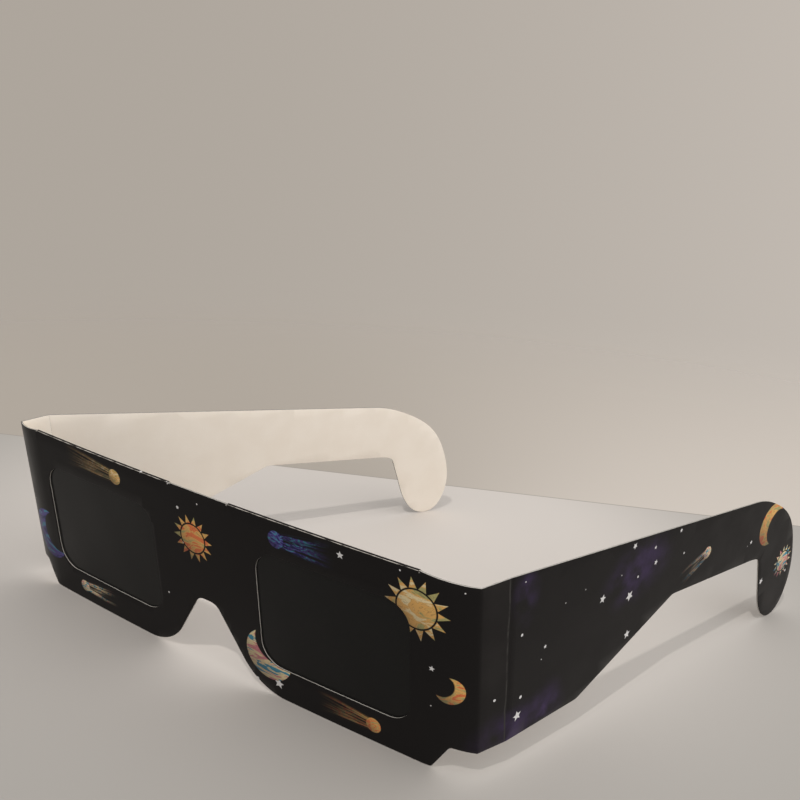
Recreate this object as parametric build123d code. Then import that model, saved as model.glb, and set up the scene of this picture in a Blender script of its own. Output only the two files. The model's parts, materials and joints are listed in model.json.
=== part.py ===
from build123d import *
from math import asin, atan2, cos, degrees, radians, sin, tan
import os

os.makedirs("parts", exist_ok=True)

# Card glasses: one folded front, two films between its layers, two hinged arms.
# Sizes in mm and degrees. The card frame has the front's outer face at y = 0 in
# the middle and the front's lower rim at z = 0. Its z runs along the creases.

# stock
CARD_T = 0.4
FILM_T = 0.12
LAYER_CLEAR = 0.04
LAYER_GAP = FILM_T + 2 * LAYER_CLEAR
FOLD_R = (2 * CARD_T + LAYER_GAP) / 2

# front seen from above: a shallow bow that bends harder near its two ends
BOW_REACH = 56.35
BOW_ANGLE = 2.6
BOW_R = BOW_REACH / sin(radians(BOW_ANGLE))
END_BEND_R = 22.5
END_BEND_ANGLE = 29.7
END_REACH = END_BEND_R * (sin(radians(BOW_ANGLE + END_BEND_ANGLE)) - sin(radians(BOW_ANGLE)))
FRONT_REACH = BOW_REACH + END_REACH

# front seen from ahead
FRONT_H = 45.7
CUT_TOP = FRONT_H - FOLD_R
CORNER_DROP = 1.8
CORNER_TOP = FRONT_H - CORNER_DROP
CORNER_RISE = 5.2
STEP_RISE = 6.1
STEP_MARGIN = 4.9
STEP_RUN = 3.8
STEP_X = FRONT_REACH - STEP_MARGIN
RIM_END_X = STEP_X - STEP_RUN
RIM_CORNER_R = 0.9
RIM_SLOPE = (STEP_RISE - CORNER_RISE) / (FRONT_REACH - STEP_X)
NOTCH_H = 18.2
NOTCH_TOP_HALF = 2.7
NOTCH_FOOT_HALF = 14.0
NOTCH_TOP_R = 3.2
NOTCH_FLARE_R = 14.0

# lens windows
WINDOW_IN_X = 15.6
WINDOW_OUT_MARGIN = 2.25
WINDOW_OUT_X = BOW_REACH - WINDOW_OUT_MARGIN
WINDOW_LOW = 8.25
WINDOW_TOP_MARGIN = 8.6
WINDOW_HIGH = FRONT_H - WINDOW_TOP_MARGIN
WINDOW_R = 5.5

# rear flap, folded over the top edge
FLAP_INSET = 0.8
FLAP_WINDOW_INSET = 0.5
FOLD_END_MARGIN = 0.35
FOLD_END_X = BOW_REACH - FOLD_END_MARGIN
FOLD_SLIT = 0.3
FLAP_END_MARGIN = 1.2
FLAP_END_X = STEP_X - FLAP_END_MARGIN
FLAP_SHOULDER_DROP = 6.5
RELIEF_HALF = 9.0
RELIEF_DEPTH = 1.2

# films and glue
FILM_MARGIN_IN = 3.6
FILM_MARGIN_OUT = 3.6
FILM_MARGIN_LOW = 4.0
FILM_MARGIN_HIGH = 4.2
FILM_CORNER_R = 1.5
GLUE_STEP = 0.6
GLUE_NOTCH_MARGIN = 2.7
GLUE_LOW = NOTCH_H + GLUE_NOTCH_MARGIN

# arms: strip between two creases, then the arm with its ear hook
STRIP_LEN = 6.6
STRIP_DROP = CORNER_TOP - CORNER_RISE
ARM_REACH = 133.3
ARM_STRAIGHT = ARM_REACH * 0.745
HOOK_DROP = 38.5
WIDE_END_X = ARM_REACH * 0.238
WIDE_END_RISE = 3.2
WIDE_END_DROP = STRIP_DROP - WIDE_END_RISE
SLIM_START_X = ARM_REACH * 0.485
SLIM_START_DROP = HOOK_DROP * 0.465
WIDE_CORNER_R = 2.5
SLIM_CORNER_R = 4.0

# the hook's outline from its crown round the tip to its throat: shares of reach and of drop
HOOK_SHARES = [
    (0.840, 0.060), (0.930, 0.223), (0.978, 0.449), (1.000, 0.805), (0.972, 0.977),
    (0.938, 1.000), (0.886, 0.888), (0.849, 0.662), (0.827, 0.509), (0.776, 0.449),
]

# how the card stands in the photographed pose
ARM_DROOP_ANGLE = 12.7
SETTLE_ANGLE = 0.28
LEFT_TURN_ANGLE = 82.1
RIGHT_TURN_ANGLE = 44.6
LEFT_CORNER_SHARE = 0.96
RIGHT_CORNER_SHARE = 0.71

# construction
OVERRUN = 12.0


def heading(angle):
    return Vector(cos(radians(angle)), sin(radians(angle)))


def point(origin, angle, length):
    return origin + heading(angle) * length


BOW_CENTRE = Vector(0, BOW_R)
BOW_END = point(BOW_CENTRE, BOW_ANGLE - 90, BOW_R)
END_CENTRE = point(BOW_END, BOW_ANGLE + 90, END_BEND_R)
END_HEADING = BOW_ANGLE + END_BEND_ANGLE
FRONT_END = point(END_CENTRE, END_HEADING - 90, END_BEND_R)
CORNER_AXIS = point(FRONT_END, END_HEADING + 90, CARD_T)


def bowed(offset):
    """Plan curves of a bowed face that lies offset behind the front's outer face."""
    bow = CenterArc(BOW_CENTRE, BOW_R - offset, -90 - BOW_ANGLE, 2 * BOW_ANGLE)
    end = CenterArc(END_CENTRE, END_BEND_R - offset, BOW_ANGLE - 90, END_BEND_ANGLE)
    return [mirror(end, about=Plane.YZ), bow, end]


def layer(offset, thick):
    """The whole bowed layer, full height, whose outer face is offset behind the front's."""
    outer = bowed(offset)
    inner = bowed(offset + thick)
    ends = [Line(outer[i] @ 1, inner[i] @ 1) for i in (0, 2)]
    return extrude(make_face([*outer, *inner, *ends]), amount=FRONT_H, dir=(0, 0, 1))


def cutter(face):
    """An outline drawn as seen from ahead, made deep enough to cut any layer."""
    return extrude(Plane.XZ * face, amount=OVERRUN, both=True)


def outline(points, radii):
    """A closed face through points, each corner rounded where it has a radius."""
    face = make_face(Polyline(*points, close=True))
    for corner, radius in zip(points, radii):
        if radius:
            spot = face.vertices().sort_by_distance((corner[0], corner[1], 0))[0]
            face = fillet(spot, radius)
    return face


def mirrored(points, radii):
    """Both halves of an outline that is given from its lower middle to its upper middle."""
    left = [(-x, y) for x, y in reversed(points)]
    return outline(points + left, radii + list(reversed(radii)))


def window(inset):
    width = WINDOW_OUT_X - WINDOW_IN_X - 2 * inset
    height = WINDOW_HIGH - WINDOW_LOW - 2 * inset
    spot = Pos((WINDOW_IN_X + WINDOW_OUT_X) / 2, (WINDOW_LOW + WINDOW_HIGH) / 2)
    face = spot * RectangleRounded(width, height, WINDOW_R - inset)
    return face + mirror(face, about=Plane.YZ)


def front_outline():
    wide = FRONT_REACH + OVERRUN
    high = FRONT_H + OVERRUN
    slit_in = RELIEF_HALF - FOLD_SLIT
    slit_out = FOLD_END_X + FOLD_SLIT
    top_slope = CORNER_DROP / (FRONT_REACH - slit_out)
    right = [
        (NOTCH_TOP_HALF, NOTCH_H), (NOTCH_FOOT_HALF, 0), (RIM_END_X, 0),
        (STEP_X, STEP_RISE), (wide, CORNER_RISE - (wide - FRONT_REACH) * RIM_SLOPE),
        (wide, FRONT_H - (wide - slit_out) * top_slope), (slit_out, FRONT_H),
        (slit_out, CUT_TOP), (slit_in, CUT_TOP), (slit_in, high),
    ]
    radii = [NOTCH_TOP_R, NOTCH_FLARE_R, RIM_CORNER_R, RIM_CORNER_R] + [0] * (len(right) - 4)
    return mirrored(right, radii)


def flap_outline():
    lift = FLAP_INSET
    shoulder = CUT_TOP - FLAP_SHOULDER_DROP
    foot = RIM_END_X - FLAP_INSET
    right = [
        (NOTCH_TOP_HALF, NOTCH_H + lift), (NOTCH_FOOT_HALF + lift, lift), (foot, lift),
        (FLAP_END_X, STEP_RISE + lift), (FLAP_END_X, shoulder), (FOLD_END_X, CUT_TOP),
        (RELIEF_HALF, CUT_TOP), (RELIEF_HALF, CUT_TOP - RELIEF_DEPTH),
    ]
    radii = [NOTCH_TOP_R, NOTCH_FLARE_R, RIM_CORNER_R, RIM_CORNER_R, RIM_CORNER_R, 0, 0, 0]
    return mirrored(right, radii)


def top_fold():
    """The half-round bend that joins front and flap, from the relief to the fold's end."""
    middle = BOW_R - CARD_T - LAYER_GAP / 2
    seat = Pos(middle, CUT_TOP)
    ring = seat * (Circle(FOLD_R) - Circle(LAYER_GAP / 2))
    upper = seat * Pos(0, FOLD_R) * Rectangle(2 * FOLD_R, 2 * FOLD_R)
    bend = Plane.XZ * (ring & upper)
    start = degrees(asin(RELIEF_HALF / BOW_R))
    size = degrees(asin(FOLD_END_X / BOW_R)) - start
    turned = revolve(bend, axis=Axis.Z, revolution_arc=size)
    return Pos(0, BOW_R) * Rot(0, 0, start - 90) * turned


def film():
    low = WINDOW_LOW - FILM_MARGIN_LOW
    high = WINDOW_HIGH + FILM_MARGIN_HIGH
    inner = WINDOW_IN_X - FILM_MARGIN_IN
    outer = WINDOW_OUT_X + FILM_MARGIN_OUT
    face = RectangleRounded(outer - inner, high - low, FILM_CORNER_R)
    return Pos((inner + outer) / 2, (low + high) / 2) * face


def bridge_glue():
    half = WINDOW_IN_X - FILM_MARGIN_IN - GLUE_STEP
    high = WINDOW_HIGH + FILM_MARGIN_HIGH
    return Pos(0, (GLUE_LOW + high) / 2) * Rectangle(2 * half, high - GLUE_LOW)


def end_glue():
    inner = WINDOW_OUT_X + FILM_MARGIN_OUT + GLUE_STEP
    outer = FLAP_END_X - GLUE_STEP
    high = WINDOW_HIGH
    face = Rectangle(outer - inner, high - WINDOW_LOW)
    return Pos((inner + outer) / 2, (WINDOW_LOW + high) / 2) * face


def panel(face, axis, angle):
    """A flat panel, drawn along its own heading, set on a crease with its inner face there."""
    flat = extrude(Plane.XZ * face, amount=CARD_T)
    return Pos(axis.X, axis.Y) * Rot(0, 0, angle) * flat


def arm_outline(droop):
    """The arm in the card frame: x along its heading, y down from the top edge."""
    root = STRIP_DROP
    hook = [(x * ARM_REACH, -y * HOOK_DROP) for x, y in HOOK_SHARES]
    top = (ARM_STRAIGHT, 0)
    curve = Spline(top, *hook, tangents=[(1, 0), (-1, 0)])
    foot = (root * sin(radians(droop)), -root * cos(radians(droop)))
    rest = Polyline(
        hook[-1], (SLIM_START_X, -SLIM_START_DROP), (WIDE_END_X, -WIDE_END_DROP),
        foot, (0, 0), top,
    )
    face = make_face([curve, rest])
    for corner, radius in (
        ((SLIM_START_X, -SLIM_START_DROP), SLIM_CORNER_R),
        ((WIDE_END_X, -WIDE_END_DROP), WIDE_CORNER_R),
    ):
        face = fillet(face.vertices().sort_by_distance((*corner, 0))[0], radius)
    return Pos(0, CORNER_TOP) * Rot(0, 0, -droop) * face


def strip_outline():
    return Pos(STRIP_LEN / 2, CORNER_TOP - STRIP_DROP / 2) * Rectangle(STRIP_LEN, STRIP_DROP)


def side(turn, share, droop):
    """Strip and arm on the right-hand side, and the axis of the second crease."""
    strip_at = END_HEADING + turn * share
    arm_at = END_HEADING + turn
    second = point(CORNER_AXIS, strip_at, STRIP_LEN)
    strip = panel(strip_outline(), CORNER_AXIS, strip_at)
    arm = panel(arm_outline(droop), second, arm_at)
    return strip, arm, second


left_strip, left_arm, left_second = side(LEFT_TURN_ANGLE, LEFT_CORNER_SHARE, ARM_DROOP_ANGLE - SETTLE_ANGLE)
right_strip, right_arm, right_second = side(
    RIGHT_TURN_ANGLE, RIGHT_CORNER_SHARE, ARM_DROOP_ANGLE + SETTLE_ANGLE
)

behind = CARD_T + LAYER_GAP
sealed = CARD_T + LAYER_CLEAR
right_film = layer(sealed, FILM_T) & cutter(film())
right_glue = layer(sealed, FILM_T) & cutter(end_glue())
right_fold = top_fold()

card = {
    "front_panel": layer(0, CARD_T) & cutter(front_outline() - window(0)),
    "rear_flap": layer(behind, CARD_T) & cutter(flap_outline() - window(-FLAP_WINDOW_INSET)),
    "left_top_fold": mirror(right_fold, about=Plane.YZ),
    "right_top_fold": right_fold,
    "left_lens_film": mirror(right_film, about=Plane.YZ),
    "right_lens_film": right_film,
    "bridge_glue": layer(sealed, FILM_T) & cutter(bridge_glue()),
    "left_end_glue": mirror(right_glue, about=Plane.YZ),
    "right_end_glue": right_glue,
    "left_hinge_strip": mirror(left_strip, about=Plane.YZ),
    "right_hinge_strip": right_strip,
    "left_arm": mirror(left_arm, about=Plane.YZ),
    "right_arm": right_arm,
}

# the part stands on the front's rim and on both hook tips: the tilt that brings
# the tips down to the floor is read from the arm's outline
TOE = min(v.Y for v in card["front_panel"].vertices() if abs(v.Z) < CARD_T)
SAMPLES = 200


def tilt_of(arm):
    edge_points = [e @ (i / SAMPLES) for e in arm.edges() for i in range(SAMPLES + 1)]
    return max(degrees(atan2(-p.Z, p.Y - TOE)) for p in edge_points)


TILT = tilt_of(card["left_arm"])
stood = {name: Rot(TILT, 0, 0) * solid for name, solid in card.items()}
box = Compound([solid.solid() for solid in stood.values()]).bounding_box()
SHIFT = Vector(-box.center().X, -box.center().Y, -box.min.Z)


def placed(x, y, z):
    """A point of the card frame in the part's frame."""
    t = radians(TILT)
    return SHIFT + Vector(x, y * cos(t) - z * sin(t), y * sin(t) + z * cos(t))


for name, solid in stood.items():
    export_step(Pos(*SHIFT) * solid.solid(), f"parts/{name}.step")

print("tilt", round(TILT, 3), "right arm alone", round(tilt_of(card["right_arm"]), 3))
print("shift", SHIFT, "size", box.size)
middle_z = CORNER_TOP - STRIP_DROP / 2
for name, spot, way in (
    ("left corner", CORNER_AXIS, -1), ("left second", left_second, -1),
    ("right corner", CORNER_AXIS, 1), ("right second", right_second, 1),
):
    print(name, placed(way * spot.X, spot.Y, middle_z))
print("crease axis", (0, -sin(radians(TILT)), cos(radians(TILT))))
for name, turn, share in (
    ("left", LEFT_TURN_ANGLE, LEFT_CORNER_SHARE), ("right", RIGHT_TURN_ANGLE, RIGHT_CORNER_SHARE),
):
    print(name, "turned", turn, "share", share, "ratio", (1 - share) / share)
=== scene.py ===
"""Looks of the folded card viewing glasses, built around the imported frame.

Each sheet is taken from the frame, laid flat as the blank it was cut from, worked flat,
and bent back to where it was. So every point also has a place on the blank, and the
print is laid out there: x runs along the blank from the middle of the front, y up it.
"""

import json
import logging
import math
from dataclasses import dataclass
from enum import Enum
from functools import cached_property, partialmethod
from typing import Callable, Sequence

import bmesh
import bpy
from bmesh.types import BMesh
from bpy.types import Material, Node, NodeSocket, NodeTree, Object
from mathutils import Matrix, Vector


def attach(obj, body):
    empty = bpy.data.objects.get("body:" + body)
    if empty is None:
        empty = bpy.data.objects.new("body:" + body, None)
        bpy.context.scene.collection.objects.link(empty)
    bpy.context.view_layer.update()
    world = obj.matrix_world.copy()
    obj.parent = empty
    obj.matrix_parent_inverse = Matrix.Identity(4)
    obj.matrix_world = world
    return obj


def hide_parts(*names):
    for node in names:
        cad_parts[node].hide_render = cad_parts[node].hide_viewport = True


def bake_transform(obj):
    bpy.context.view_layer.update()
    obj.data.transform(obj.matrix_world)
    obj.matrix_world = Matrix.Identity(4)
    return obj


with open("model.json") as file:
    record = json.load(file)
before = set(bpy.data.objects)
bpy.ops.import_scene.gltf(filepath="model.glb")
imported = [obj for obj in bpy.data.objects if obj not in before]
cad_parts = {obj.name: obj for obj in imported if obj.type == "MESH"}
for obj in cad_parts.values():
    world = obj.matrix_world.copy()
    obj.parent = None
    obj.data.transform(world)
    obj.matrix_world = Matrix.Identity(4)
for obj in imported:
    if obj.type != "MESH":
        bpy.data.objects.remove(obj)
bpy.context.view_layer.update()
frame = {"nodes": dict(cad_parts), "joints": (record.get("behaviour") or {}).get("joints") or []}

MM = 0.001
PER_MM = (1.0 / MM,) * 3
MERGE = 0.002 * MM
NEARLY_FLAT = math.radians(0.5)
SMOOTH_UP_TO = math.radians(30)
RIM_FROM = math.radians(60)
CUT_SHIFT = 0.137  # moves the bands' cuts off the corners of the sheet, in bands
INK_WRAP = 0.3  # how square to the print a face is that still takes ink
FLAT_FACE = 0.9  # how square a face is that counts as a flat side
ALONG, PRINTED_WAY, UP = Vector((1, 0, 0)), Vector((0, -1, 0)), Vector((0, 0, 1))
PHOTO_PIXELS = 800
Pair = tuple[float, float]
Triple = tuple[float, float, float]
Colour = Triple

log = logging.getLogger("glasses")


class Side(Enum):
    """The two sides of the glasses, by the sign of x."""

    LEFT = -1
    RIGHT = 1

    @property
    def word(self) -> str:
        """The side's name as the frame's nodes and joints spell it."""
        return self.name.lower()


class Face(Enum):
    """Which finish a face of a sheet takes: its place in the piece's material slots."""

    PRINT = 0
    BARE = 1
    EDGE = 2


@dataclass(frozen=True)
class Card:
    """Thicknesses of the stock and where its creases and folds lie."""

    thick: float = 0.4 * MM
    film: float = 0.12 * MM
    clear: float = 0.04 * MM
    height: float = 45.7 * MM
    crease_low: float = 5.2 * MM
    crease_high: float = 43.9 * MM
    strip: float = 6.6 * MM

    @property
    def fold_radius(self) -> float:
        """Outer radius of the top fold: half of the two layers and the room between."""
        return self.thick + self.clear + self.film / 2

    @property
    def fold_line(self) -> float:
        """Height at which the top fold starts."""
        return self.height - self.fold_radius


@dataclass(frozen=True)
class Bow:
    """The front seen from above: a shallow bow with a tighter bend at each end."""

    reach: float = 56.35 * MM
    angle: float = math.radians(2.6)
    end_radius: float = 22.5 * MM
    end_angle: float = math.radians(29.7)

    @property
    def radius(self) -> float:
        """Radius of the shallow part's outer face."""
        return self.reach / math.sin(self.angle)

    @property
    def half_length(self) -> float:
        """Length along the outer face from the middle to a corner crease."""
        return self.radius * self.angle + self.end_radius * self.end_angle

    @property
    def heading(self) -> float:
        """Angle at which the front leaves at its corner crease."""
        return self.angle + self.end_angle

    def _end_centre(self) -> Pair:
        """Centre of the right-hand end bend, in plan."""
        drop = self.radius - self.end_radius
        return drop * math.sin(self.angle), self.radius - drop * math.cos(self.angle)

    def unroll(self, point: Vector) -> Vector:
        """Lays a point of the bowed card flat.

        Args:
            point: A point in the card's own axes.

        Returns:
            Its place along the blank, its depth behind the outer face, and its height.
        """
        across = abs(point.x)
        turn = math.atan2(across, self.radius - point.y)
        along = self.radius * turn
        depth = self.radius - math.hypot(across, self.radius - point.y)
        if turn > self.angle:
            cx, cy = self._end_centre()
            bend = math.atan2(across - cx, cy - point.y) - self.angle
            along = self.radius * self.angle + self.end_radius * bend
            depth = self.end_radius - math.hypot(across - cx, cy - point.y)
        return Vector((math.copysign(along, point.x), depth, point.z))

    def roll(self, flat: Vector) -> Vector:
        """Bends a point of the flat blank back.

        Args:
            flat: Place along the blank, depth and height.

        Returns:
            The point in the card's own axes.
        """
        along = abs(flat.x)
        cx, cy, radius, turn = 0.0, self.radius, self.radius, along / self.radius
        if turn > self.angle:
            cx, cy = self._end_centre()
            radius = self.end_radius
            turn = self.angle + (along - self.radius * self.angle) / radius
        x = cx + (radius - flat.y) * math.sin(turn)
        y = cy - (radius - flat.y) * math.cos(turn)
        return Vector((math.copysign(x, flat.x), y, flat.z))


CARD = Card()
BOW = Bow()


class CardSpace:
    """Where the card's own axes lie in the frame, read from the corner creases."""

    def __init__(self) -> None:
        """Reads the crease axes from the frame's joints."""
        self.joints = {joint["name"]: joint for joint in frame["joints"]}
        up = Vector(self.joints["right_corner_fold"]["axis"])
        tilt = math.atan2(-up.y, up.z)
        left, right = (self._spot(f"{side.word}_corner_fold") for side in Side)
        inner = Vector((BOW.half_length, CARD.thick, 0))
        crease = Vector((0, BOW.roll(inner).y, (CARD.crease_high + CARD.crease_low) / 2))
        middle = Matrix.Translation((left + right) / 2)
        self.to_frame = middle @ Matrix.Rotation(tilt, 4, "X") @ Matrix.Translation(-crease)
        self.from_frame = self.to_frame.inverted()

    def _spot(self, joint: str) -> Vector:
        """A point on a joint's axis, in the frame."""
        return Vector(self.joints[joint]["pos_m"])

    def crease(self, joint: str) -> Vector:
        """A point on a joint's axis, in the card's own axes."""
        return self.from_frame @ self._spot(joint)


SPACE = CardSpace()


@dataclass(frozen=True)
class Panel:
    """A flat panel that leaves a crease at its own heading.

    Attributes:
        side: Which side of the glasses it is on.
        joint: The crease that it starts from.
        heading: Its direction in plan, counted from straight out to its own side.
        start: Where the blank has that crease, from the middle of the front.
    """

    side: Side
    joint: str
    heading: float
    start: float

    def _axes(self) -> tuple[Vector, Vector, Vector]:
        """The crease, the way along the panel and the way out of its printed face."""
        sign = self.side.value
        along = Vector((sign * math.cos(self.heading), math.sin(self.heading), 0))
        out = Vector((sign * math.sin(self.heading), -math.cos(self.heading), 0))
        return SPACE.crease(self.joint), along, out

    def unroll(self, point: Vector) -> Vector:
        """Lays a point of the panel flat.

        Args:
            point: A point in the card's own axes.

        Returns:
            Its place along the blank, its depth behind the outer face, and its height.
        """
        crease, along, out = self._axes()
        arm = point - crease
        flat = self.side.value * (self.start + arm.dot(along))
        return Vector((flat, CARD.thick - arm.dot(out), point.z))

    def roll(self, flat: Vector) -> Vector:
        """Bends a point of the flat blank back.

        Args:
            flat: Place along the blank, depth and height.

        Returns:
            The point in the card's own axes.
        """
        crease, along, out = self._axes()
        place = crease + along * (abs(flat.x) - self.start) + out * (CARD.thick - flat.y)
        return Vector((*place.xy, flat.z))


def cut_bands(bm: BMesh, axis: Vector, spacing: float) -> None:
    """Cuts a flat sheet into even bands, so that it bends smoothly.

    Args:
        bm: The flat sheet.
        axis: The way across the bands.
        spacing: Width of a band.
    """
    places = [vert.co.dot(axis) for vert in bm.verts]
    first = math.floor(min(places) / spacing) + 1
    for band in range(first, math.ceil(max(places) / spacing)):
        everything = bm.verts[:] + bm.edges[:] + bm.faces[:]
        spot = axis * (band + CUT_SHIFT) * spacing
        bmesh.ops.bisect_plane(
            bm, geom=everything, dist=MERGE, plane_co=spot, plane_no=axis
        )


def sort_faces(bm: BMesh, printed: Vector) -> None:
    """Gives each face of a flat sheet its finish.

    Args:
        bm: The flat sheet.
        printed: The way that its print faces.
    """
    bm.normal_update()
    for one in bm.faces:
        facing = one.normal.dot(printed)
        finish = Face.EDGE
        if facing > INK_WRAP:
            finish = Face.PRINT
        elif facing < -FLAT_FACE:
            finish = Face.BARE
        one.material_index = finish.value


def lay_out(bm: BMesh, place: Callable[[Vector], Pair],
            under: Callable[[Vector], float]) -> None:
    """Stores where each point lies on the blank and in the card's thickness as UVs.

    Args:
        bm: The sheet.
        place: Gives a point's place on the blank, in metres.
        under: Gives how far under the print it lies, as a share of the thickness.
    """
    blank = bm.loops.layers.uv.new("blank")
    layers = bm.loops.layers.uv.new("layers")
    for one in bm.faces:
        for loop in one.loops:
            loop[blank].uv = place(loop.vert.co)
            loop[layers].uv = (under(loop.vert.co), 0)


def add_object(name: str, data: bpy.types.ID) -> Object:
    """Puts a new object with that data into the scene."""
    added = bpy.data.objects.new(name, data)
    bpy.context.scene.collection.objects.link(added)
    return added


def finish_object(name: str, shape: BMesh, body: str | None,
                  materials: Sequence[Material]) -> Object:
    """Turns a finished bmesh into a piece of the object.

    Args:
        name: The piece's name.
        shape: The piece in the card's own axes. It is freed here.
        body: The body that it rides on, or None for a piece that rides on none.
        materials: Its materials, in the order of Face.

    Returns:
        The new object.
    """
    for vert in shape.verts:
        vert.co = SPACE.to_frame @ vert.co
    for edge in shape.edges:
        edge.smooth = not (edge.is_manifold and edge.calc_face_angle() > SMOOTH_UP_TO)
    for one in shape.faces:
        one.smooth = True
    mesh = bpy.data.meshes.new(name)
    shape.to_mesh(mesh)
    shape.free()
    piece = add_object(name, mesh)
    for material in materials:
        mesh.materials.append(material)
    if body:
        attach(piece, body)
    log.info("%s: %d faces", name, len(mesh.polygons))
    return piece


@dataclass
class Sheet:
    """One flat-cut sheet of the glasses, card or film.

    Attributes:
        name: The piece's name.
        node: The frame's node that it stands for.
        body: The body that it rides on.
        bend: What lays it flat and bends it back, the bow or a panel.
        materials: Its materials, in the order of Face.
        slot: The record's material slot; not used.
        across: Spacing of its cuts along the blank.
        up: Spacing of its cuts up the blank.
        edge_round: Radius of its cut edges.
        printed_behind: True where the print faces back, as on the rear flap.
        swell: Adds to the depth of a flat point, for what doesn't lie quite flat.
    """

    name: str
    node: str
    body: str
    bend: Bow | Panel
    materials: Sequence[Material]
    slot: str = "printed_card"
    across: float = 2.0 * MM
    up: float = 3.0 * MM
    edge_round: float = 0.05 * MM
    printed_behind: bool = False
    swell: Callable[[Vector], float] | None = None

    def build(self) -> None:
        """Makes the sheet and hides the node that it stands for."""
        bm = bmesh.new()
        bm.from_mesh(frame["nodes"][self.node].data)
        bmesh.ops.remove_doubles(bm, verts=bm.verts, dist=MERGE)
        for vert in bm.verts:
            vert.co = self.bend.unroll(SPACE.from_frame @ vert.co)
        bmesh.ops.dissolve_limit(
            bm, angle_limit=NEARLY_FLAT, verts=bm.verts, edges=bm.edges,
            use_dissolve_boundaries=False,
        )
        cut_bands(bm, ALONG, self.across)
        cut_bands(bm, UP, self.up)
        if self.edge_round:
            self._round_edges(bm)
        sort_faces(bm, -PRINTED_WAY if self.printed_behind else PRINTED_WAY)
        self._lay_out(bm)
        for vert in bm.verts:
            if self.swell:
                vert.co.y += self.swell(vert.co)
            vert.co = self.bend.roll(vert.co)
        piece = finish_object(self.name, bm, self.body, self.materials)
        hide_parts(self.node)

    def _round_edges(self, bm: BMesh) -> None:
        """Rounds the cut edges of the flat sheet a little, as a die does.

        Args:
            bm: The flat sheet.
        """
        bm.normal_update()
        rims = [
            edge for edge in bm.edges
            if edge.is_manifold and edge.calc_face_angle() > RIM_FROM
            and abs(edge.verts[0].co.y - edge.verts[1].co.y) < MERGE
        ]
        bmesh.ops.bevel(
            bm, geom=rims, offset=self.edge_round, offset_type="OFFSET", segments=2,
            profile=0.5, affect="EDGES", clamp_overlap=True, material=-1,
        )

    def _lay_out(self, bm: BMesh) -> None:
        """Lays out the sheet, the rear flap on the blank beyond the fold.

        Args:
            bm: The flat sheet.
        """
        deepest = min(vert.co.y for vert in bm.verts)
        over_fold = 2 * CARD.fold_line + math.pi * CARD.fold_radius
        if self.printed_behind:
            lay_out(bm, lambda spot: (spot.x, over_fold - spot.z),
                    lambda spot: 1 - (spot.y - deepest) / CARD.thick)
        else:
            lay_out(bm, lambda spot: spot.xz, lambda spot: (spot.y - deepest) / CARD.thick)


@dataclass
class TopFold:
    """One stretch of the half-round fold that joins the front and the rear flap."""

    side: Side
    materials: Sequence[Material]
    inner_end: float = 9.0 * MM
    outer_end: float = 56.0 * MM
    pitch: float = 1.0 * MM
    steps: int = 14

    def build(self) -> None:
        """Makes the fold from a flat strip and hides the node that it stands for."""
        node = f"{self.side.word}_top_fold"
        bm = self._flat_strip()
        sort_faces(bm, PRINTED_WAY)
        lay_out(bm, lambda spot: (spot.x, CARD.fold_line + spot.z),
                lambda spot: spot.y / CARD.thick)
        for vert in bm.verts:
            vert.co = BOW.roll(self._wrap(vert.co))
        piece = finish_object(node + "_card", bm, "front", self.materials)
        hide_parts(node)

    def _flat_strip(self) -> BMesh:
        """Cuts the strip flat.

        Returns:
            The strip: x along the blank, y behind the print and z over the fold.
        """
        start, end = (BOW.radius * math.asin(x / BOW.radius)
                      for x in (self.inner_end, self.outer_end))
        length = math.pi * CARD.fold_radius
        bm = bmesh.new()
        bmesh.ops.create_cube(bm, size=1.0)
        for vert in bm.verts:
            along = self.side.value * (start + (vert.co.x + 0.5) * (end - start))
            depth = (vert.co.y + 0.5) * CARD.thick
            vert.co = Vector((along, depth, (vert.co.z + 0.5) * length))
        bmesh.ops.recalc_face_normals(bm, faces=bm.faces)
        cut_bands(bm, ALONG, self.pitch)
        cut_bands(bm, UP, length / self.steps)
        return bm

    @staticmethod
    def _wrap(flat: Vector) -> Vector:
        """Wraps a point of the flat strip round the fold.

        Args:
            flat: Place along the blank, depth behind the print, and length over the fold.

        Returns:
            Place along the blank, depth and height.
        """
        turn = flat.z / CARD.fold_radius
        radius = CARD.fold_radius - flat.y
        depth = CARD.fold_radius - radius * math.cos(turn)
        return Vector((flat.x, depth, CARD.fold_line + radius * math.sin(turn)))


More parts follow.
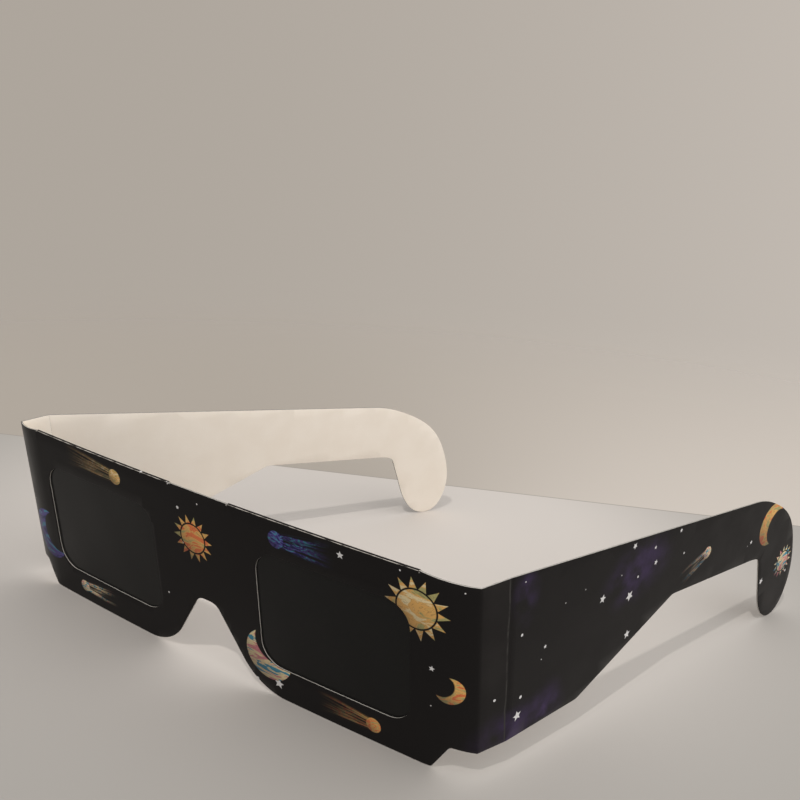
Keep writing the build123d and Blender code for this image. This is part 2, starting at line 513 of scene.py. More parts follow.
@dataclass
class Crease:
    """The rounded outside of a crease: a wedge of card turned about its hinge line.

    Attributes:
        panel: The panel that starts at it.
        came: The heading of the panel before it.
        before: The body before the crease; not used.
        after: The body after it; not used.
        materials: Its materials, in the order of Face.
        steps: Number of facets of its round.
    """

    panel: Panel
    came: float
    before: str
    after: str
    materials: Sequence[Material]
    steps: int = 12

    def _out(self, heading: float) -> Vector:
        """From the crease line to the printed face of a panel at that heading."""
        sign = self.panel.side.value
        return Vector((sign * math.sin(heading), -math.cos(heading), 0)) * CARD.thick

    def build(self) -> None:
        """Makes the wedge by turning its outline about the crease."""
        panel, sign = self.panel, self.panel.side.value
        low, high = UP * CARD.crease_low, UP * CARD.crease_high
        foot = Vector((*SPACE.crease(panel.joint).xy, 0))
        bm = bmesh.new()
        edge_out = self._out(self.came)
        corners = (foot + low, foot + low + edge_out, foot + high + edge_out, foot + high)
        verts = [bm.verts.new(corner) for corner in corners]
        edges = [bm.edges.new(pair) for pair in zip(verts, verts[1:])]
        bmesh.ops.spin(
            bm, geom=verts + edges, cent=foot, axis=UP, steps=self.steps,
            angle=sign * (panel.heading - self.came),
        )
        bmesh.ops.remove_doubles(bm, verts=bm.verts, dist=MERGE)
        bmesh.ops.holes_fill(bm, edges=bm.edges, sides=4)
        bmesh.ops.recalc_face_normals(bm, faces=bm.faces)
        for one in bm.faces:
            finish = Face.EDGE if abs(one.normal.z) > FLAT_FACE else Face.PRINT
            one.material_index = finish.value
        lay_out(bm, lambda spot: (sign * panel.start, spot.z),
                lambda spot: 1 - (spot - foot).xy.length / CARD.thick)
        piece = finish_object(panel.joint + "_crease", bm, None, self.materials)
        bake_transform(piece)


class Signal:
    """What a node gives out. Arithmetic on it lays out further nodes."""

    def __init__(self, board: "Board", node: Node, output: str | int = 0) -> None:
        """Keeps where the value comes from."""
        self.board, self.node, self.output = board, node, output

    @property
    def socket(self) -> NodeSocket:
        """The socket that gives it out."""
        return self.node.outputs[self.output]

    def other(self, output: str | int) -> "Signal":
        """Another output of the same node."""
        return Signal(self.board, self.node, output)

    def math(self, operation: str, *others: object) -> "Signal":
        """Adds a Math node, or a Vector Math node where this is a vector.

        Args:
            operation: The node's operation.
            *others: What its further inputs take.

        Returns:
            The node's result.
        """
        kind = "VectorMath" if self.socket.type == "VECTOR" else "Math"
        result = self.board.add(kind, dict(enumerate((self, *others))), operation=operation)
        return result.other(1) if operation in ("LENGTH", "DISTANCE", "DOT_PRODUCT") else result

    __add__ = partialmethod(math, "ADD")
    __sub__ = partialmethod(math, "SUBTRACT")
    __mul__ = partialmethod(math, "MULTIPLY")
    __truediv__ = partialmethod(math, "DIVIDE")
    __abs__ = partialmethod(math, "ABSOLUTE")

    def parts(self) -> list["Signal"]:
        """The three parts of a vector or a colour."""
        kind = "SeparateXYZ" if self.socket.type == "VECTOR" else "SeparateColor"
        split = self.board.add(kind, {0: self})
        return [split.other(part) for part in range(3)]

    def ramp(self, low: float, high: float, to_low: float = 0.0,
             to_high: float = 1.0) -> "Signal":
        """Maps it smoothly from the first range to the second."""
        inputs = dict(enumerate((self, low, high, to_low, to_high)))
        return self.board.add("MapRange", inputs, interpolation_type="SMOOTHSTEP")

    def mix(self, below: object, above: object) -> "Signal":
        """Lays one colour over another by it."""
        return self.board.add("Mix", {0: self, 6: below, 7: above}, data_type="RGBA").other(2)

    def group(self, tree: NodeTree, **inputs: object) -> "Signal":
        """Feeds it to the first input of a node group that has its own values."""
        return self.board.add("Group", {0: self, **inputs}, node_tree=tree)

    def grain(self, fine: float, broad: float) -> "Signal":
        """The paper grain at it: its height, with its tone as a second output."""
        return self.group(EFFECTS.grain, Fine=fine, Broad=broad)

    def noise(self, scale: object, detail: float, distortion: float = 0.0) -> "Signal":
        """A noise texture's value at it."""
        return self.board.add("TexNoise", {"Vector": self, "Scale": scale, "Detail": detail,
                                           "Distortion": distortion})


class Board:
    """A short way to lay out the nodes of one tree."""

    def __init__(self, tree: NodeTree) -> None:
        """Keeps the tree that the nodes go into."""
        self.tree = tree

    def feed(self, socket: NodeSocket, value: object) -> None:
        """Links a signal to a socket, or sets the socket to a plain value.

        Args:
            socket: The socket.
            value: What it takes. A colour gets full opacity.
        """
        if isinstance(value, Signal):
            self.tree.links.new(value.socket, socket)
        else:
            socket.default_value = (*value, 1.0) if socket.type == "RGBA" else value

    def add(self, kind: str, inputs: dict | None = None, **settings: object) -> Signal:
        """Adds a node.

        Args:
            kind: The node's type, without its ShaderNode prefix.
            inputs: What its sockets take, by name or number.
            **settings: Properties to set on it first.

        Returns:
            Its first output.
        """
        node = self.tree.nodes.new("ShaderNode" + kind)
        for name, value in settings.items():
            setattr(node, name, value)
        for name, value in (inputs or {}).items():
            self.feed(node.inputs[name], value)
        return Signal(self, node)


class Group(Board):
    """A shader group while it is laid out."""

    def __init__(self, name: str) -> None:
        """Starts the group, with nothing going in or out yet."""
        super().__init__(bpy.data.node_groups.new(name, "ShaderNodeTree"))
        self.source = self.tree.nodes.new("NodeGroupInput")
        self.sink = self.tree.nodes.new("NodeGroupOutput")

    def inputs(self, vectors: str, values: str = "", colours: str = "") -> list[Signal]:
        """Adds the group's inputs.

        Args:
            vectors: Names of its vector inputs, with spaces between.
            values: Names of its plain inputs.
            colours: Names of its colour inputs.

        Returns:
            What they give, in that order.
        """
        kinds = {"Vector": vectors, "Float": values, "Color": colours}
        for kind, names in kinds.items():
            for name in names.split():
                self.tree.interface.new_socket(
                    name, in_out="INPUT", socket_type="NodeSocket" + kind
                )
        everything = " ".join(kinds.values()).split()
        return [Signal(self, self.source, name) for name in everything]

    def give(self, name: str, value: Signal) -> NodeTree:
        """Adds an output to the group and feeds it.

        Args:
            name: The output's name.
            value: What it gives out.

        Returns:
            The group.
        """
        kind = "Color" if value.socket.type == "RGBA" else "Float"
        self.tree.interface.new_socket(name, in_out="OUTPUT", socket_type="NodeSocket" + kind)
        self.feed(self.sink.inputs[name], value)
        return self.tree


class Coat(Board):
    """A finish's material while it is laid out."""

    def __init__(self, name: str) -> None:
        """Starts the material."""
        self.material = bpy.data.materials.new(name)
        self.material.use_nodes = True
        super().__init__(self.material.node_tree)
        self.surface = self.tree.nodes["Principled BSDF"]

    def spot(self) -> Signal:
        """The point's place on the piece, in mm."""
        return self.add("TexCoord").other("Object") * PER_MM

    def finish(self, colour: Signal, roughness: object, shine: float,
               height: Signal | None = None, relief: Pair = (0, 0)) -> Material:
        """Feeds the surface.

        Args:
            colour: Its base colour.
            roughness: Its roughness.
            shine: How much it reflects.
            height: The height of its fine relief, from 0 to 1.
            relief: That full height in metres, and how much of it shows.

        Returns:
            The material.
        """
        looks = {"Base Color": colour, "Roughness": roughness, "Specular IOR Level": shine}
        if height:
            bump = {"Height": height, "Distance": relief[0], "Strength": relief[1]}
            looks["Normal"] = self.add("Bump", bump)
        for name, value in looks.items():
            self.feed(self.surface.inputs[name], value)
        return self.material


class Effects:
    """The shader groups that the finishes share, each built once, with lengths in mm.

    The first input of each is the place that it works on.
    """

    SOFT_RIM = 0.12
    SOFT_STAR = 0.07
    SOFT_BITE = 0.3
    STAR_POINTS = 5
    STAR_STRAY = 0.85
    SUN_RAYS = 14
    SUN_WAIST = 0.62
    SUN_DISC = 0.615
    SUN_GAP = (0.10, 0.30)
    TAIL_WIDTH = 0.85
    TAIL_WIDENS = 0.9
    TAIL_LANES = 3.4
    TAIL_WISPS = 1.3
    VEINS = 46.0
    DEEP = (0.03, 0.022, 0.03)
    DUSK = (0.03, 0.02, 0.035)
    LIT_FROM = (0.6, 0.8, 0.0)

    @cached_property
    def grain(self) -> NodeTree:
        """Paper grain: a fine tooth over broad, faint unevenness."""
        group = Group("paper_grain")
        place, fine, broad = group.inputs("Place", "Fine Broad")
        tooth, cloud = place.noise(fine, 3.0), place.noise(broad, 2.0)
        group.give("Height", tooth * 0.6 + cloud * 0.4)
        return group.give("Tone", cloud * 0.7 + tooth * 0.3)

    @cached_property
    def pointed(self) -> NodeTree:
        """A pointed star about the origin: its sector is half the turn between two tips."""
        group = Group("pointed_star")
        place, radius, turn, sector, waist, soft = group.inputs(
            "Place", "Radius Turn Sector Waist Soft"
        )
        x, y, _ = place.parts()
        angle = y.math("ARCTAN2", x) + turn
        folded = abs(angle.math("FLOORED_MODULO", sector * 2.0) - sector)
        rise = waist * sector.math("SINE")
        run = waist * sector.math("COSINE") * -1.0 + 1.0
        across = folded.math("COSINE") * rise + folded.math("SINE") * run
        inside = radius * rise - place.math("LENGTH") * across
        depth = inside / (rise * rise + run * run).math("SQRT")
        return group.give("Mask", (depth / soft).ramp(0.0, 1.0))

    @cached_property
    def stars(self) -> NodeTree:
        """Scattered small stars: one in some of the cells of a loose grid."""
        group = Group("scattered_stars")
        place, cell, least, largest, filled, waist = group.inputs(
            "Place", "Cell Least Largest Filled Waist"
        )
        scaled = place / cell
        cells = group.add(
            "TexVoronoi", {"Vector": scaled, "Scale": 1.0, "Randomness": self.STAR_STRAY},
            voronoi_dimensions="2D",
        )
        chance, turn, share = cells.other("Color").parts()
        local = (scaled - cells.other("Position")) * cell
        star = local.group(
            self.pointed, Radius=(largest - least) * share.math("POWER", 2.0) + least,
            Turn=turn * math.tau, Sector=math.pi / self.STAR_POINTS, Waist=waist,
            Soft=self.SOFT_STAR,
        )
        return group.give("Mask", star * chance.math("LESS_THAN", filled))

    @cached_property
    def crescent(self) -> NodeTree:
        """A crescent: a disc with a bite out of it."""
        group = Group("crescent")
        local, bite, radius, bite_radius = group.inputs("Local Bite", "Radius BiteRadius")
        disc = (radius - local.math("LENGTH")).ramp(0.0, self.SOFT_RIM)
        left = (local.math("DISTANCE", bite) - bite_radius).ramp(0.0, self.SOFT_BITE)
        return group.give("Mask", disc * left)

    @cached_property
    def sun(self) -> NodeTree:
        """A sun: a disc with a thin gap between it and its rays."""
        group = Group("sun")
        local, radius, turn = group.inputs("Local", "Radius Turn")
        rayed = local.group(
            self.pointed, Radius=radius, Turn=turn,
            Sector=math.pi / self.SUN_RAYS, Waist=self.SUN_WAIST, Soft=self.SOFT_RIM,
        )
        off = abs(local.math("LENGTH") / radius - self.SUN_DISC) * radius
        return group.give("Mask", rayed * off.ramp(*self.SUN_GAP))

    @cached_property
    def comet(self) -> NodeTree:
        """A comet: a round head and a combed tail that widens and fades."""
        group = Group("comet")
        local, heading, size, tail_length = group.inputs("Local", "Heading Head Tail")
        turned = group.add("VectorRotate", {"Vector": local, "Angle": heading},
                           rotation_type="Z_AXIS")
        x, y, _ = turned.parts()
        behind = x / tail_length
        aside = y / (size * (behind * self.TAIL_WIDENS + self.TAIL_WIDTH))
        lane = group.add("CombineXYZ", {0: behind * self.TAIL_WISPS,
                                        1: aside * self.TAIL_LANES, 2: size})
        combed = lane.noise(1.0, 3.0).ramp(0.40, 0.60)
        fading = behind.ramp(1.0, 0.1) * behind.ramp(-0.02, 0.04)
        tail = abs(aside).ramp(1.0, 0.65) * combed * fading
        head = (size - local.math("LENGTH")).ramp(0.0, 0.15)
        return group.give("Mask", head.math("MAXIMUM", tail))

    @cached_property
    def wash(self) -> NodeTree:
        """A marbled wash of three inks with thin darker veins."""
        group = Group("ink_wash")
        place, size, first, second, third = group.inputs("Place", "Size", "First Second Third")
        cloud = (place * (1.0, 2.2, 1.0)).noise(size, 3.0, 2.2)
        two = cloud.ramp(0.42, 0.47).mix(first, second)
        three = cloud.ramp(0.54, 0.60).mix(two, third)
        vein = abs((cloud * self.VEINS).math("SINE")).ramp(0.0, 0.42, 0.38, 0.0)
        return group.give("Color", vein.mix(three, self.DEEP))

    @cached_property
    def glow(self) -> NodeTree:
        """A soft cloud of ink round a point."""
        group = Group("soft_cloud")
        place, centre, spread = group.inputs("Place Centre Spread")
        near = ((place - centre) / spread).math("LENGTH").ramp(1.0, 0.0)
        return group.give("Mask", near * place.noise(0.16, 4.0).ramp(0.3, 0.75))

    @cached_property
    def shade(self) -> NodeTree:
        """Painted shading of a motif: it darkens towards its lower left."""
        group = Group("painted_shade")
        local, radius, colour = group.inputs("Local", "Radius", "Color")
        share = local.math("DOT_PRODUCT", self.LIT_FROM) / radius
        dark = share.ramp(-1.1, 0.5, 0.62, 0.0)
        return group.give("Color", dark.mix(colour, self.DUSK))


EFFECTS = Effects()


class Kind(Enum):
    """The generic motifs of the print."""

    CRESCENT = "crescent"
    COMET = "comet"
    SUN = "sun"


@dataclass(frozen=True)
class Motif:
    """One generic motif of the print, placed on the blank in mm.

    Attributes:
        kind: What it shows.
        at: Its place along and up the blank.
        size: Radius of the disc, the head or the rays.
        inks: The three inks of its wash.
        heading: The way that a bite lies or a tail points, in degrees.
        tail: A comet's length of tail.
    """

    BITE_AWAY = 0.62
    BITE_RADIUS = 0.80
    WASH_SIZE = 0.8

    kind: Kind
    at: Pair
    size: float
    inks: tuple[Colour, Colour, Colour]
    heading: float = 0.0
    tail: float = 0.0

    def mask(self, local: Signal) -> Signal:
        """Lays out the motif's outline.

        Args:
            local: The place on the blank, from the motif's centre.

        Returns:
            1 on the motif and 0 off it.
        """
        turn = math.radians(self.heading)
        if self.kind is Kind.COMET:
            return local.group(EFFECTS.comet, Head=self.size, Tail=self.tail, Heading=-turn)
        if self.kind is Kind.SUN:
            return local.group(EFFECTS.sun, Radius=self.size, Turn=self.at[0])
        away = self.size * self.BITE_AWAY
        bite = (away * math.cos(turn), away * math.sin(turn), 0.0)
        return local.group(EFFECTS.crescent, Radius=self.size, Bite=bite,
                           BiteRadius=self.size * self.BITE_RADIUS)

    def paint(self, place: Signal, ground: Signal) -> Signal:
        """Prints the motif over the ground.

        Args:
            place: The place on the blank, in mm.
            ground: The colour under it.

        Returns:
            The colour with the motif.
        """
        local = place - (*self.at, 0.0)
        first, second, third = self.inks
        wash = place.group(EFFECTS.wash, Size=self.WASH_SIZE / self.size,
                           First=first, Second=second, Third=third)
        lit = local.group(EFFECTS.shade, Radius=self.size, Color=wash)
        return self.mask(local).mix(ground, lit)


ORANGE = (0.70, 0.19, 0.07)
AMBER = (0.70, 0.40, 0.13)
OLIVE = (0.40, 0.36, 0.15)
CREAM = (0.76, 0.62, 0.36)
TEAL = (0.06, 0.26, 0.36)
VIOLET = (0.085, 0.065, 0.25)
INDIGO = (0.022, 0.026, 0.115)
ROSE = (0.60, 0.22, 0.24)
SUNNY = (OLIVE, AMBER, CREAM)
EMBER = (ORANGE, AMBER, OLIVE)
NIGHT = (INDIGO, VIOLET, TEAL)
DAWN = (TEAL, CREAM, ROSE)

CRESCENT, COMET, SUN = Kind
MOTIFS = (
    Motif(SUN, (-2.5, 33.5), 6.0, EMBER),
    Motif(COMET, (-27.0, 41.6), 2.0, SUNNY, 176.0, 19.0),
    Motif(CRESCENT, (-58.5, 15.5), 7.0, NIGHT, 20.0),
    Motif(COMET, (-46.0, 4.4), 1.7, DAWN, 3.0, 13.0),
    Motif(CRESCENT, (17.5, 10.5), 6.4, DAWN, 65.0),
    Motif(COMET, (22.0, 41.4), 2.1, NIGHT, 2.0, 15.0),
    Motif(SUN, (55.5, 37.0), 7.2, SUNNY),
    Motif(COMET, (45.0, 4.2), 1.9, EMBER, 178.0, 15.0),
    Motif(CRESCENT, (62.5, 20.0), 3.2, EMBER, 150.0),
    Motif(COMET, (148.0, 17.0), 1.7, DAWN, -166.0, 13.0),
    Motif(CRESCENT, (181.5, 11.0), 6.2, EMBER, 330.0),
    Motif(SUN, (192.5, -5.5), 5.2, DAWN),
    Motif(CRESCENT, (-90.0, 22.0), 6.0, EMBER, 200.0),
    Motif(COMET, (-128.0, 22.0), 2.0, NIGHT, 12.0, 15.0),
    Motif(SUN, (-182.0, 9.0), 5.8, NIGHT),
    Motif(CRESCENT, (-190.0, -9.0), 4.6, SUNNY, 250.0),
    Motif(CRESCENT, (-58.0, 60.0), 6.6, DAWN, 300.0),
    Motif(COMET, (-20.0, 51.0), 1.8, EMBER, 170.0, 15.0),
    Motif(SUN, (3.0, 60.5), 5.2, SUNNY),
    Motif(COMET, (24.0, 87.0), 2.0, NIGHT, 4.0, 16.0),
    Motif(CRESCENT, (57.0, 80.0), 6.0, EMBER, 95.0),
)

# Centre and half size of each violet cloud on the blank, in mm.
CLOUDS = (
    ((75, 5), (11, 11)), ((86, 6), (9, 9)), ((79, 38), (5, 9)), ((118, 26), (16, 10)),
    ((-80, 8), (14, 12)), ((-150, 14), (14, 10)), ((30, 66), (16, 12)),
)

# Pointed stars and then rounder specks, in mm.
STARS = (
    {"Cell": 9.5, "Least": 0.60, "Largest": 1.50, "Filled": 0.24, "Waist": 0.46},
    {"Cell": 6.5, "Least": 0.20, "Largest": 0.50, "Filled": 0.12, "Waist": 0.80},
)


@dataclass(frozen=True)
class PrintedCard:
    """Satin black print with small stars, coloured motifs and worn creases.

    Attributes:
        ink: The black ground, and so on for the violet clouds and the stars.
        rubbed: The greyer black of the hinge strips, a painted sheen.
        worn: The pale print along a second crease: wear, and painted sheen.
        fibre: The bare fibre in a crack.
        roughness: Least and most roughness of the varnished print.
        gloss: How much the varnish reflects.
        grain: How fine its tooth is, and its broad unevenness.
        relief: Depth and strength of its fine relief.
        worn_rough: What wear adds to the roughness.
        worn_inset: How far before a second crease the pale line runs, in mm.
        worn_line: Where that line has faded out, and where it is full, in mm.
        waver: How far it wavers, in mm.
        crack_turn: How far round the fold the crack lies.
        crack_width: Half of its width, in mm.
        cracked: True for the fold, where the print has cracked along a line.
    """

    ink: Colour = (0.0120, 0.0108, 0.0108)
    violet: Colour = (0.050, 0.031, 0.085)
    star: Colour = (0.66, 0.65, 0.65)
    rubbed: Colour = (0.0215, 0.0195, 0.0190)
    worn: Colour = (0.044, 0.041, 0.039)
    fibre: Colour = (0.62, 0.58, 0.52)
    roughness: Pair = (0.28, 0.39)
    gloss: float = 0.062
    grain: Pair = (3.5, 0.12)
    relief: Pair = (0.008 * MM, 0.35)
    worn_rough: float = 0.2
    worn_inset: float = 0.35
    worn_line: Pair = (0.26, 0.08)
    waver: float = 0.7
    crack_turn: float = math.radians(52)
    crack_width: float = 0.085
    cracked: bool = False

    def build(self) -> Material:
        """Builds the material.

        Returns:
            The material.
        """
        coat = Coat("cracked_print" if self.cracked else "print")
        place = coat.add("UVMap", uv_map="blank") * PER_MM
        colour = self._ground(place)
        for spread in STARS:
            colour = place.group(EFFECTS.stars, **spread).mix(colour, self.star)
        for motif in MOTIFS:
            colour = motif.paint(place, colour)
        # wear and painted sheen: a pale line along each second crease
        worn = self._worn(place)
        colour = worn.mix(colour, self.worn)
        if self.cracked:
            colour = self._crack(place).mix(colour, self.fibre)
        grain = place.grain(*self.grain)
        rough = worn * self.worn_rough + grain.other("Tone").ramp(0.3, 0.7, *self.roughness)
        return coat.finish(colour, rough, self.gloss, grain, self.relief)

    def _ground(self, place: Signal) -> Signal:
        """The black ground, greyer on the hinge strips as painted sheen, with soft violet
        clouds.

        Args:
            place: The place on the blank, in mm.

        Returns:
            The colour.
        """
        out = abs(place.parts()[0])
        corner = BOW.half_length / MM
        second = corner + CARD.strip / MM
        # painted sheen: the hinge strips are painted a greyer black
        strip = out.ramp(corner - 0.3, corner + 0.6) * out.ramp(second + 0.4, second - 0.6)
        uneven = place.noise(0.10, 3.0).ramp(0.30, 0.70, 0.55, 1.0)
        colour = (strip * uneven).mix(self.ink, self.rubbed)
        for centre, spread in CLOUDS:
            cloud = place.group(EFFECTS.glow, Centre=(*centre, 0), Spread=(*spread, 1))
            colour = cloud.mix(colour, self.violet)
        return colour

    def _worn(self, place: Signal) -> Signal:
        """Where the print is worn and has painted sheen: a thin, wavering pale line along each
        second crease.

        Args:
            place: The place on the blank, in mm.

        Returns:
            How much wear and painted sheen it has.
        """
        waver = place.noise(0.12, 2.0) * self.waver - self.waver / 2
        second = (BOW.half_length + CARD.strip) / MM - self.worn_inset
        line = abs(place.parts()[0]) - second + waver
        broken = place.noise(0.45, 3.0).ramp(0.34, 0.60, 0.35, 1.0)
        return abs(line).ramp(*self.worn_line) * broken

    def _crack(self, place: Signal) -> Signal:
        """How open the pale crack along the top fold is, of uneven width.

        Args:
            place: The place on the blank, in mm.

        Returns:
            1 in the crack and 0 off it.
        """
        line = (CARD.fold_line + CARD.fold_radius * self.crack_turn) / MM
        half_width = place.noise(0.35, 5.0).ramp(0.30, 0.62) * self.crack_width
        return (half_width - abs(place.parts()[1] - line)).ramp(-0.02, 0.05)


@dataclass(frozen=True)
class BareCard:
    """Uncoated card: warm white, with a soft tooth and faint mottling."""

    name: str = "bare_card"
    light: Colour = (0.86, 0.79, 0.705)
    dark: Colour = (0.83, 0.755, 0.665)
    grain: Pair = (3.0, 0.15)
    relief: Pair = (0.02 * MM, 0.6)
    roughness: Pair = (0.72, 0.86)
    shine: float = 0.25

    def build(self) -> Material:
        """Builds the material.

        Returns:
            The material.
        """
        coat = Coat(self.name)
        grain = coat.spot().grain(*self.grain)
        tone = grain.other("Tone").ramp(0.3, 0.7)
        colour = tone.mix(self.dark, self.light)
        rough = tone.ramp(0.0, 1.0, *self.roughness)
        return coat.finish(colour, rough, self.shine, grain, self.relief)


@dataclass(frozen=True)
class CutEdge:
    """The die-cut edge: a pale fibrous core between dark bands, partly ink run over from the
    printed side and partly painted shade.
    """

    core: Colour = (0.80, 0.76, 0.70)
    stained: Colour = (0.020, 0.018, 0.016)
    core_span: Pair = (0.44, 0.72)
    blur: float = 0.08
    ragged: float = 0.5
    grain: Pair = (5.0, 0.7)
    relief: Pair = (0.05 * MM, 0.6)
    roughness: float = 0.85
    shine: float = 0.2

    def build(self) -> Material:
        """Builds the material, which reads how far under the print a point lies.

        Returns:
            The material.
        """
        coat = Coat("cut_edge")
        under = coat.add("UVMap", uv_map="layers").parts()[0]
        grain = coat.spot().grain(*self.grain)
        ragged = grain.other("Tone") * self.ragged + (under - self.ragged / 2)
        low, high = self.core_span
        opened = ragged.ramp(low - self.blur, low + self.blur)
        closed = ragged.ramp(high + self.blur, high - self.blur)
        # the dark bands round the pale core are partly ink and partly painted shade
        colour = (opened * closed).mix(self.stained, self.core)
        return coat.finish(colour, self.roughness, self.shine, grain, self.relief)


@dataclass(frozen=True)
class LensFilm:
    """Black polymer film, smooth and glossy, with faint draw lines and dust."""

    tint: Colour = (0.0062, 0.0062, 0.0060)
    dust: Colour = (0.022, 0.022, 0.021)
    roughness: Pair = (0.13, 0.24)
    shine: float = 0.16
    draw: Triple = (0.15, 0.15, 2.5)
    relief: Pair = (0.006 * MM, 0.35)

    def build(self) -> Material:
        """Builds the material.

        Returns:
            The material.
        """
        coat = Coat("lens_film")
        place = coat.spot()
        drawn = (place * self.draw).noise(0.5, 3.0)
        specks = place.noise(2.6, 2.0).ramp(0.70, 0.78, 0.0, 0.5)
        smear = place.noise(0.09, 2.0).ramp(0.35, 0.65, *self.roughness)
        colour = specks.mix(self.tint, self.dust)
        return coat.finish(colour, smear, self.shine, drawn, self.relief)


class Finishes:
    """Every material of the glasses, those of a sheet in the order of Face."""

    def __init__(self) -> None:
        """Builds the materials."""
        bare = BareCard().build()
        edge = CutEdge().build()
        self.film = (LensFilm().build(),) * 3
        self.print_sheet = (PrintedCard().build(), bare, edge)
        self.fold = (PrintedCard(cracked=True).build(), bare, edge)
        self.glue = BareCard("dried_glue", (0.78, 0.74, 0.62), (0.66, 0.60, 0.47), (1.4, 0.15),
                             (0.03 * MM, 0.6)).build()


@dataclass
class Front:
    """The folded front: outer layer, rear flap, the two folds, the films and the glue."""

    finishes: Finishes
    across: float = 1.0 * MM
    film_up: float = 1.5 * MM
    film_buckle: float = 0.015 * MM
    buckle_pitch: float = 17.0 * MM
    buckle_lean: float = 3.1

    def build(self) -> None:
        """Builds every piece of the front."""
        for node, behind in (("front", False), ("rear_flap", True)):
            Sheet(f"{node}_card", "rear_flap" if behind else "front_panel", "front", BOW,
                  self.finishes.print_sheet, across=self.across,
                  printed_behind=behind).build()
        for side in Side:
            TopFold(side, self.finishes.fold).build()
            Sheet(f"{side.word}_film", f"{side.word}_lens_film", "front", BOW,
                  self.finishes.film, "lens_film", self.across, self.film_up, edge_round=0.0,
                  swell=self._buckle).build()
        for node in ("bridge_glue", "left_end_glue", "right_end_glue"):
            materials = frame["nodes"][node].data.materials
            materials.clear()
            materials.append(self.finishes.glue)

    def _buckle(self, flat: Vector) -> float:
        """How far the film stands off its plane at a point of the blank."""
        wave = math.tau * flat.x + self.buckle_lean * flat.z
        return self.film_buckle * math.sin(wave / self.buckle_pitch)


@dataclass
class Temple:
    """One side arm: hinge strip, arm and the two creases.

    Attributes:
        side: Which side of the glasses it is on.
        turn: How far the arm is turned from the front's end, in degrees.
        corner_share: The share of that turn at the corner crease.
        sheet: The materials of a printed sheet.
        arm_bands: Spacing of the cuts in the arm.
    """

    side: Side
    turn: float
    corner_share: float
    sheet: Sequence[Material]
    arm_bands: float = 4.0 * MM

    def build(self) -> None:
        """Builds the strip, the arm and the creases."""
        word = self.side.word
        strip_body, arm_body = f"{word}_strip", f"{word}_arm_body"
        strip_way = BOW.heading + math.radians(self.turn * self.corner_share)
        arm_way = BOW.heading + math.radians(self.turn)
        strip = Panel(self.side, f"{word}_corner_fold", strip_way, BOW.half_length)
        arm = Panel(self.side, f"{word}_second_fold", arm_way, BOW.half_length + CARD.strip)
        Sheet(f"{word}_strip_card", f"{word}_hinge_strip", strip_body, strip,
              self.sheet).build()
        Sheet(f"{word}_arm_card", f"{word}_arm", arm_body, arm, self.sheet,
              across=self.arm_bands, up=self.arm_bands).build()
        Crease(strip, BOW.heading, "front", strip_body, self.sheet).build()
        Crease(arm, strip_way, strip_body, arm_body, self.sheet).build()


@dataclass(frozen=True)
class PhotoCamera:
    """The photograph's viewpoint, found by matching the card's corners and outline."""

    place: Triple = (120.865 * MM, -206.320 * MM, 119.386 * MM)
    azimuth: float = math.radians(32.519)
    elevation: float = math.radians(14.849)
    roll: float = math.radians(5.187)
    focal_pixels: float = 941.92
    sensor: float = 36.0

    def build(self) -> None:
        """Creates the camera and makes it the scene's own."""
        data = bpy.data.cameras.new("photo_camera")
        data.sensor_width = self.sensor
        data.lens = self.focal_pixels / PHOTO_PIXELS * self.sensor
        data.clip_start = 1.0 * MM
        camera = add_object("photo_camera", data)
        camera.matrix_world = (
            Matrix.Translation(self.place) @ Matrix.Rotation(self.azimuth, 4, "Z")
            @ Matrix.Rotation(math.pi / 2 - self.elevation, 4, "X")
            @ Matrix.Rotation(self.roll, 4, "Z")
        )
        bpy.context.scene.camera = camera


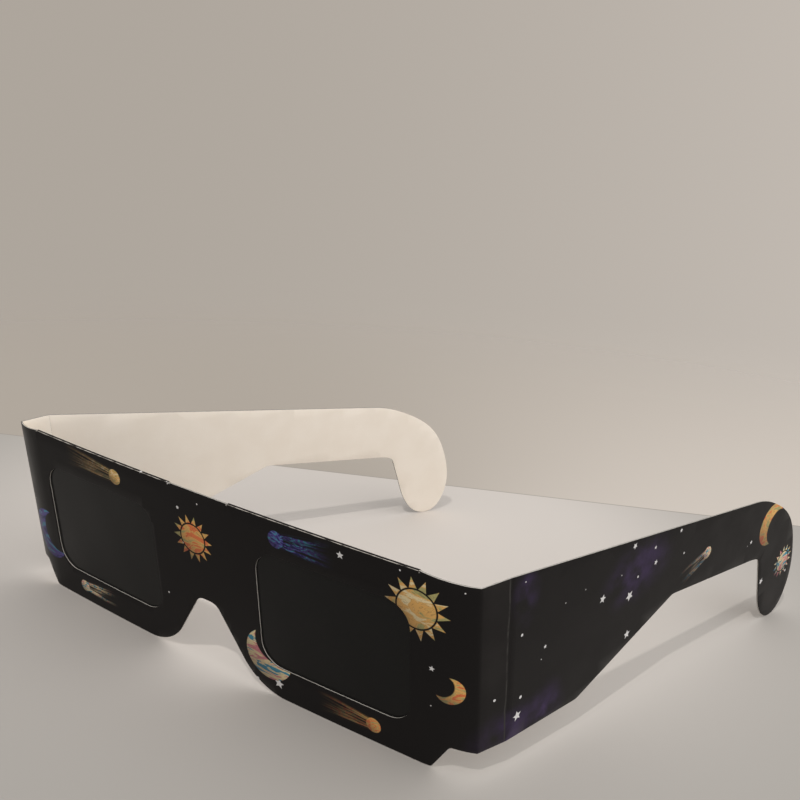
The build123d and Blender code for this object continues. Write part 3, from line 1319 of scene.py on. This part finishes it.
@dataclass(frozen=True)
class Studio:
    """Pale floor and wall tone, soft sky light and one lamp above and before the object. The
    floor's colour holds a painted pool of light that fades to painted shade further out.

    A pair of lengths says where a change of tone starts and where it is complete.
    """

    floor: Colour = (0.615, 0.574, 0.540)
    # painted light and shade: the floor's colour fades from a lit pool to darker further out
    floor_edge: Colour = (0.412, 0.392, 0.368)
    pool: Pair = (70.0 * MM, 165.0 * MM)
    pool_centre: Triple = (-42.0 * MM, 28.0 * MM, 0.0)
    # painted light: the wall tone runs from darker on the left to lighter on the right
    wall_left: Colour = (0.418, 0.377, 0.332)
    wall_right: Colour = (0.600, 0.548, 0.498)
    wall_span: Pair = (-0.9, 0.35)
    # painted shade along the foot of the wall
    seam: Colour = (0.30, 0.27, 0.24)
    wall_line: Pair = (-96.6 * MM, 54.9 * MM)
    wall_heading: float = math.radians(28.3)
    seam_width: float = 0.5 * MM
    wall_blur: float = 0.4 * MM
    fade: Pair = (0.16, 0.6)
    floor_size: float = 4.0
    floor_roughness: float = 0.6
    floor_shine: float = 0.1
    sky: Colour = (1.0, 0.985, 0.965)
    sky_strength: float = 0.88
    sky_lean: Triple = (0.78, 0.50, 0.0)
    lamp_tint: Colour = (1.0, 0.97, 0.93)
    lamp_watts: float = 10.0
    lamp_size: float = 0.05
    lamp_place: Triple = (0.243, -1.099, 1.736)

    def build(self) -> None:
        """Builds the floor, the world and the lamp."""
        bpy.context.scene.view_settings.view_transform = "Standard"
        self._floor()
        self._world()
        data = bpy.data.lights.new("front_lamp", "AREA")
        data.shape = "DISK"
        data.size = self.lamp_size
        data.energy = self.lamp_watts
        data.color = self.lamp_tint
        lamp = add_object("front_lamp", data)
        place = Vector(self.lamp_place)
        turn = (-place).to_track_quat("-Z", "Y").to_matrix().to_4x4()
        lamp.matrix_world = Matrix.Translation(place) @ turn

    def _floor(self) -> None:
        """One wide plane, with a painted pool of light, a thin line of painted shade at the foot
        of the wall, and the wall's tone beyond the wall line.
        """
        bm = bmesh.new()
        bmesh.ops.create_grid(bm, x_segments=1, y_segments=1, size=self.floor_size)
        mesh = bpy.data.meshes.new("floor")
        bm.to_mesh(mesh)
        bm.free()
        floor = add_object("floor", mesh)
        coat = Coat("pale_floor")
        place = coat.add("TexCoord").other("Object")
        beyond = (-math.sin(self.wall_heading), math.cos(self.wall_heading), 0.0)
        past = (place - (*self.wall_line, 0.0)).math("DOT_PRODUCT", beyond)
        # painted light: the floor is lighter in a pool round one point and fades to painted
        # shade further out
        edge = place.math("DISTANCE", self.pool_centre).ramp(*self.pool)
        near = edge.mix(self.floor, self.floor_edge)
        wall = self._wall_tone(place.math("NORMALIZE"))
        colour = past.ramp(0.0, self.wall_blur).mix(near, wall)
        # painted shade: a thin darker line along the foot of the wall
        seam = abs(past).ramp(self.seam_width, 0.0)
        mesh.materials.append(coat.finish(seam.mix(colour, self.seam),
                                          self.floor_roughness, self.floor_shine))
        far = place.math("LENGTH").ramp(*self.fade)
        seen = far * coat.add("LightPath").other("Is Camera Ray")
        mixed = coat.add("MixShader", {0: seen, 1: Signal(coat, coat.surface),
                                       2: coat.add("BsdfTransparent")})
        coat.feed(coat.tree.nodes["Material Output"].inputs["Surface"], mixed)

    def _wall_tone(self, way: Signal) -> Signal:
        """The wall's tone that way, with painted light: a little lighter towards the right."""
        right = way.parts()[0].ramp(*self.wall_span)
        return right.mix(self.wall_left, self.wall_right)

    def _world(self) -> None:
        """Sky light, with the wall's tone where the camera, gloss or glass sees the sky."""
        bpy.context.scene.world = world = bpy.data.worlds.new("studio")
        world.use_nodes = True
        board = Board(world.node_tree)
        lit = Signal(board, world.node_tree.nodes["Background"])
        way = board.add("TexCoord").other("Generated")
        lean = way.math("DOT_PRODUCT", self.sky_lean)
        board.feed(lit.node.inputs["Color"], self.sky)
        board.feed(lit.node.inputs["Strength"], lean * self.sky_strength + self.sky_strength)
        seen = board.add("Background", {"Color": self._wall_tone(way), "Strength": 1.0})
        ray = board.add("LightPath").other("Is Camera Ray")
        looks = ray.math("MAXIMUM", ray.other("Is Glossy Ray"))
        looks = looks.math("MAXIMUM", ray.other("Is Transmission Ray"))
        mixed = board.add("MixShader", {0: looks, 1: lit, 2: seen})
        board.feed(world.node_tree.nodes["World Output"].inputs["Surface"], mixed)


def main() -> None:
    """Builds the glasses, the studio and the camera."""
    logging.basicConfig(level=logging.INFO, format="%(name)s: %(message)s")
    PhotoCamera().build()
    Studio().build()
    finishes = Finishes()
    Front(finishes).build()
    Temple(Side.LEFT, 82.1, 0.96, finishes.print_sheet).build()
    Temple(Side.RIGHT, 44.6, 0.71, finishes.print_sheet).build()


if __name__ == "__main__":
    main()
